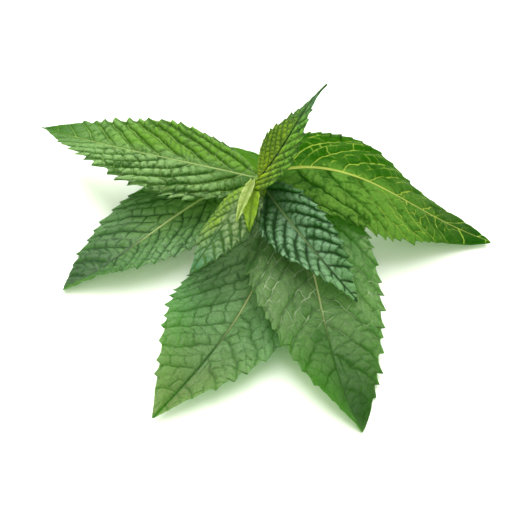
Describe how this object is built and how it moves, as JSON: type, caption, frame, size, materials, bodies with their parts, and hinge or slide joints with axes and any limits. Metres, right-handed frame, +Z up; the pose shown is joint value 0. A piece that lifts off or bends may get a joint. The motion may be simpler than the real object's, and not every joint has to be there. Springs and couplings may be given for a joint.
{
  "type": "mint sprig",
  "caption": "Cut tip of a mint shoot lying down, with a square stem, toothed arching leaves in a whorl, an upright folded leaf and tiny pale leaflets at its growing tip.",
  "frame": {"origin": "on the surface the sprig lies on, under the middle of its box", "axes": "+Z up, +X along the longest spread of the leaves, -Y towards the open side of the whorl where the two longest leaves point; the cut end of the stem is towards +Y"},
  "size_m": [0.1198, 0.1016, 0.0471],
  "materials": {
    "mature_leaf": "dull, puckered leaf surface with a faint blue-grey sheen",
    "fresh_leaf": "satin leaf surface with light yellow-green veins, lit through",
    "young_leaf": "soft young leaf, yellow-green along its fold",
    "pale_leaf": "pale cream-green bud leaf, soft and matte",
    "stem": "satin green square stem with a faint down"
  },
  "bodies": {
    "root": {"stem": "stem", "leaf_low_left": "mature_leaf", "leaf_low_right": "mature_leaf", "leaf_side_left": "mature_leaf", "leaf_wide_left": "fresh_leaf", "leaf_wide_right": "fresh_leaf", "leaf_back": "fresh_leaf", "leaf_ridged": "mature_leaf", "leaf_small": "fresh_leaf", "leaf_upright": "young_leaf", "leaflet_pale": "pale_leaf", "leaflet_green": "young_leaf", "leaflet_point": "young_leaf"}
  },
  "joints": []
}
